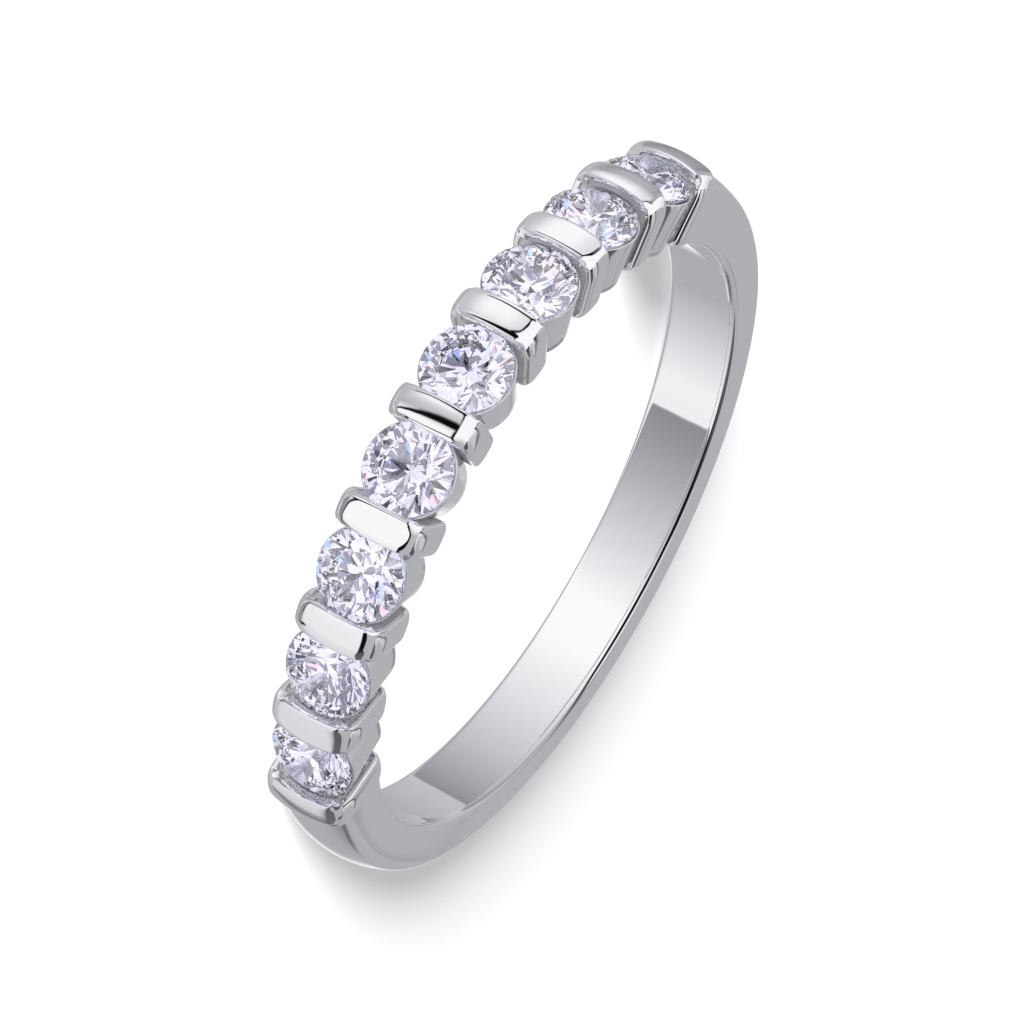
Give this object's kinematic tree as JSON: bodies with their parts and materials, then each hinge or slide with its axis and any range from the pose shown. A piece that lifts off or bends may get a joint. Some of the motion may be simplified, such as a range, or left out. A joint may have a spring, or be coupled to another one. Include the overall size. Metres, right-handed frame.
{
  "type": "half-eternity ring",
  "caption": "Half-eternity finger ring: a polished white metal band whose front holds a single row of round brilliant-cut stones, each seated in a cup between upright polished bars.",
  "frame": {"origin": "centre of the finger hole, half way across the band's width", "axes": "+Z along the finger hole's axis, and the middle of the row of stones faces -Y. The ring lies on its side as modelled, as it would on a table."},
  "size_m": [0.0206, 0.0211, 0.0024],
  "materials": {
    "white_metal": "mirror polished, with bright-cut grain on the bars' recessed flanks",
    "clear_stone": "faceted and polished, colourless with a faint lavender cast"
  },
  "bodies": {
    "root": {"ring_band": "white_metal", "stone_1": "clear_stone", "stone_2": "clear_stone", "stone_3": "clear_stone", "stone_4": "clear_stone", "stone_5": "clear_stone", "stone_6": "clear_stone", "stone_7": "clear_stone", "stone_8": "clear_stone"}
  },
  "joints": []
}
